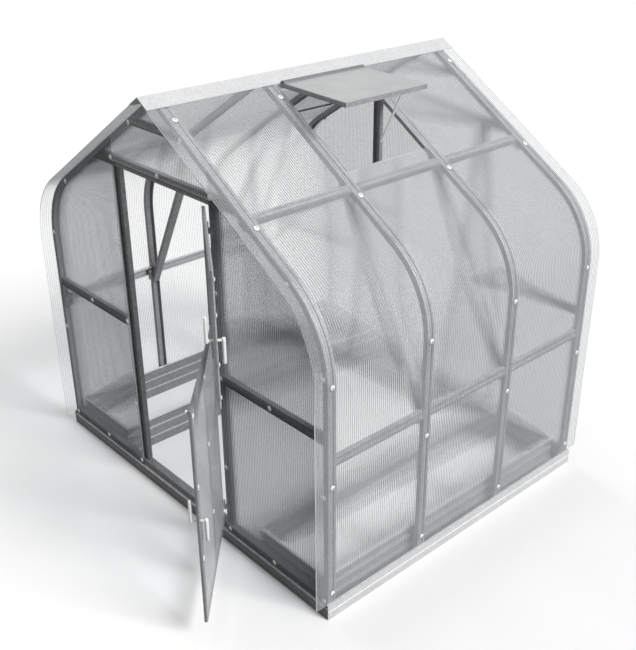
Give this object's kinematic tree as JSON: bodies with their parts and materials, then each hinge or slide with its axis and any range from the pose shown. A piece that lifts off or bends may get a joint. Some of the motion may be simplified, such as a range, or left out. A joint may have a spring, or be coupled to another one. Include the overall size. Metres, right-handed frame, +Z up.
{
  "type": "polycarbonate greenhouse",
  "caption": "Greenhouse of clear twin-wall sheet bent over folded steel arches, with a split hinged door, an open roof vent and planting beds along its walls.",
  "frame": {"origin": "on the ground under the middle of the doorway, on the underside of the front sill and in the plane of the front arch's outer face", "axes": "+Z up, front and doorway towards -Y, +X to the right seen from the front, ridge along Y"},
  "size_m": [2.442, 2.5654, 2.3436],
  "materials": {
    "frame_steel": "galvanised, dull grey",
    "bed_steel": "galvanised sheet",
    "twin_wall_sheet": "clear fluted polycarbonate",
    "latch_plastic": "white moulded"
  },
  "bodies": {
    "building": {"front_sill": "frame_steel", "back_sill": "frame_steel", "left_sill": "frame_steel", "right_sill": "frame_steel", "front_arch": "frame_steel", "second_arch": "frame_steel", "third_arch": "frame_steel", "back_arch": "frame_steel", "left_roof_purlin": "frame_steel", "right_roof_purlin": "frame_steel", "left_wall_purlin": "frame_steel", "right_wall_purlin": "frame_steel", "left_braces": "frame_steel", "right_braces": "frame_steel", "front_header": "frame_steel", "front_left_post": "frame_steel", "front_right_post": "frame_steel", "front_side_rails": "frame_steel", "front_collar": "frame_steel", "back_header": "frame_steel", "back_posts": "frame_steel", "back_side_rails": "frame_steel", "back_collar": "frame_steel", "ridge_cap": "frame_steel", "door_hinge_pins": "frame_steel", "vent_frame": "frame_steel", "vent_hinge": "frame_steel", "vent_stay": "frame_steel", "left_bed": "bed_steel", "right_bed": "bed_steel", "left_side_sheet": "twin_wall_sheet", "right_side_sheet": "twin_wall_sheet", "front_left_sheet": "twin_wall_sheet", "front_right_sheet": "twin_wall_sheet", "front_top_sheet": "twin_wall_sheet", "back_sheet": "twin_wall_sheet", "vent_sheet": "twin_wall_sheet"},
    "lower_leaf": {"lower_leaf_frame": "frame_steel", "lower_leaf_sheet": "twin_wall_sheet", "lower_leaf_hinges": "frame_steel"},
    "upper_leaf": {"upper_leaf_frame": "frame_steel", "upper_leaf_sheet": "twin_wall_sheet", "upper_leaf_hinges": "frame_steel"},
    "lower_latch_arm": {"lower_latch": "latch_plastic"},
    "upper_latch_arm": {"upper_latch": "latch_plastic"}
  },
  "joints": [
    {"name": "lower_leaf_swing", "type": "hinge", "parent": "building", "child": "lower_leaf", "pos_m": [0.385, 0.001, 0.2], "axis": [0, 0, 1], "range_deg": [-137, 23]},
    {"name": "upper_leaf_swing", "type": "hinge", "parent": "building", "child": "upper_leaf", "pos_m": [0.385, 0.001, 1.4], "axis": [0, 0, 1], "range_deg": [-146.5, 13.5]},
    {"name": "lower_latch_turn", "type": "hinge", "parent": "lower_leaf", "child": "lower_latch_arm", "pos_m": [0.92108, -0.4989, 0.69214], "axis": [-0.682, -0.7314, 0], "range_deg": [-90, 0]},
    {"name": "upper_latch_turn", "type": "hinge", "parent": "upper_leaf", "child": "upper_latch_arm", "pos_m": [0.99624, -0.40357, 1.59314], "axis": [-0.5519, -0.8339, 0], "range_deg": [-90, 0]}
  ]
}
